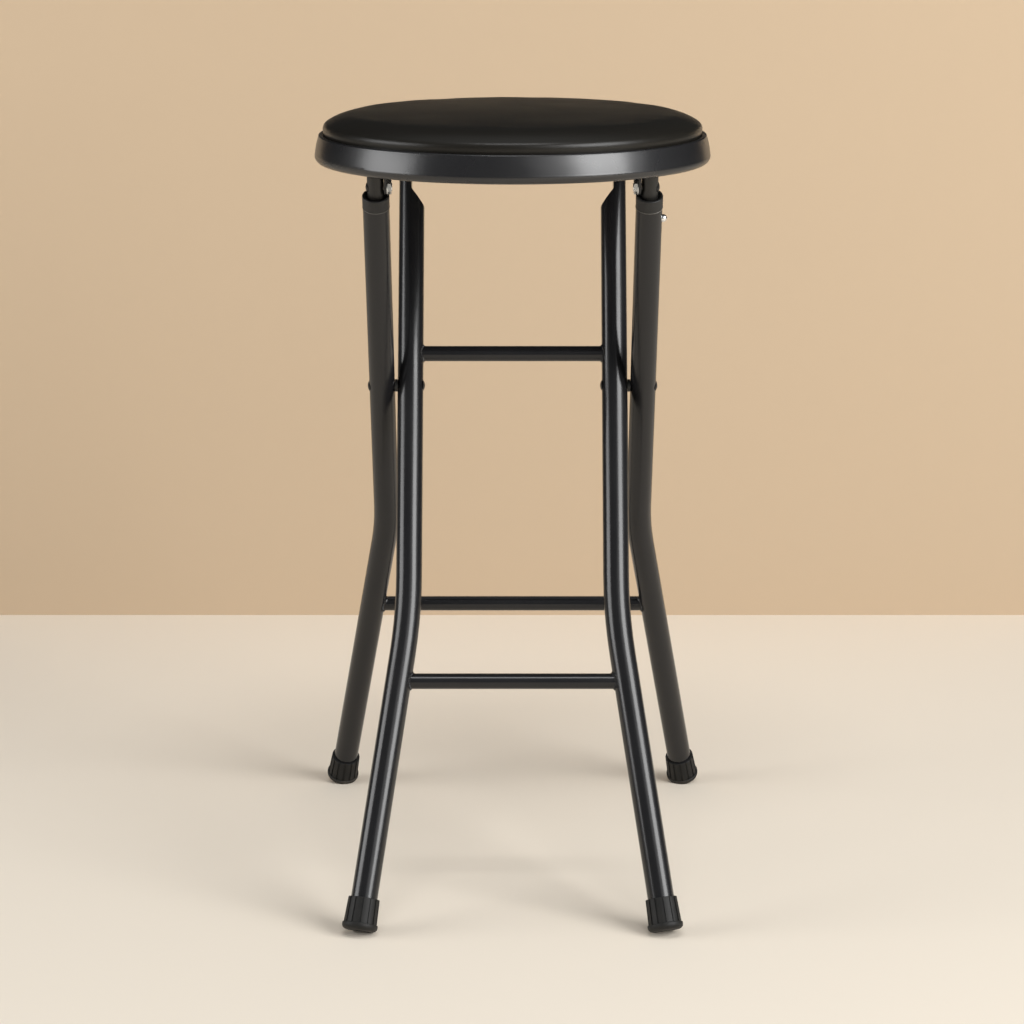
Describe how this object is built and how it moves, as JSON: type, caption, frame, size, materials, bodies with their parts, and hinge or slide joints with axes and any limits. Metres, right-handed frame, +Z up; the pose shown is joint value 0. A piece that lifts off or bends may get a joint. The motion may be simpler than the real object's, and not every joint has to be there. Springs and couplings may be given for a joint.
{
  "type": "folding stool",
  "caption": "Round padded stool on a scissor-folding tube frame with slim tubes that slide in the front legs, crossbars, ribbed rubber foot caps and a sprung button.",
  "frame": {"origin": "on the floor, under the middle of the seat, with the stool open", "axes": "+Z up, +Y away from the front (the picture is taken from -Y), +X to the right seen from the front"},
  "size_m": [0.3276, 0.3948, 0.61],
  "materials": {
    "vinyl": "satin black vinyl, fine grain",
    "board": "plain plywood",
    "pan_enamel": "semi-gloss black powder coat",
    "frame_paint": "semi-gloss black powder coat",
    "slide_paint": "satin black paint, rubbed along the slide",
    "dark_hardware": "black-painted rivets and bolt heads",
    "zinc_hardware": "bright zinc plate",
    "spring_steel": "plain spring steel",
    "button_chrome": "bright plated",
    "cap_rubber": "matt black rubber",
    "collar_plastic": "satin black nylon",
    "glide_plastic": "natural acetal"
  },
  "bodies": {
    "outer_frame": {"outer_leg_left": "frame_paint", "outer_leg_right": "frame_paint", "rear_crossbar": "frame_paint", "rear_foot_cap_left": "cap_rubber", "rear_foot_cap_right": "cap_rubber", "guide_collar_left": "collar_plastic", "guide_collar_right": "collar_plastic", "crossing_rivet_left": "dark_hardware", "crossing_rivet_right": "dark_hardware", "crossing_spacers": "dark_hardware", "lock_spring": "spring_steel"},
    "inner_frame": {"inner_leg_left": "frame_paint", "inner_leg_right": "frame_paint", "upper_crossbar": "frame_paint", "footrest_crossbar": "frame_paint", "front_foot_cap_left": "cap_rubber", "front_foot_cap_right": "cap_rubber"},
    "seat": {"seat_pan": "pan_enamel", "cushion_board": "board", "seat_cushion": "vinyl", "pad_screws": "zinc_hardware", "front_bracket_left": "frame_paint", "front_bracket_right": "frame_paint", "rear_bracket_left": "frame_paint", "rear_bracket_right": "frame_paint", "bracket_rivets": "dark_hardware", "front_bolt_ends": "zinc_hardware", "front_washers": "zinc_hardware", "front_nuts": "zinc_hardware", "rear_pivot_rivets": "dark_hardware"},
    "left_slide": {"slide_tube_left": "slide_paint", "slide_glides_left": "glide_plastic", "front_bolt_left": "dark_hardware"},
    "right_slide": {"slide_tube_right": "slide_paint", "slide_glides_right": "glide_plastic", "front_bolt_right": "dark_hardware"},
    "lock_button": {"lock_button": "button_chrome"}
  },
  "joints": [
    {"name": "fold", "type": "hinge", "parent": "outer_frame", "child": "inner_frame", "pos_m": [0, 0, 0.39199], "axis": [1, 0, 0], "range_deg": [0, 47.05]},
    {"name": "seat_swing", "type": "hinge", "parent": "inner_frame", "child": "seat", "pos_m": [0, 0.08074, 0.5603], "axis": [-1, 0, 0], "range_deg": [0, 106.55]},
    {"name": "slide_left", "type": "slide", "parent": "outer_frame", "child": "left_slide", "axis": [0, -0.4325, 0.9016], "range_m": [0, 0.1604]},
    {"name": "slide_right", "type": "slide", "parent": "outer_frame", "child": "right_slide", "axis": [0, -0.4325, 0.9016], "range_m": [0, 0.1604]},
    {"name": "button_press", "type": "slide", "parent": "outer_frame", "child": "lock_button", "axis": [-1, 0, 0], "range_m": [0, 0.0034], "stiffness_N_per_m": 400, "springref_m": -0.002, "deforming": ["lock_spring"]}
  ],
  "couplings": [
    {"joint": "seat_swing", "follows": "fold", "ratio": 2.2648},
    {"joint": "slide_left", "follows": "fold", "m_per_rad": 0.19535},
    {"joint": "slide_right", "follows": "fold", "m_per_rad": 0.19535}
  ]
}
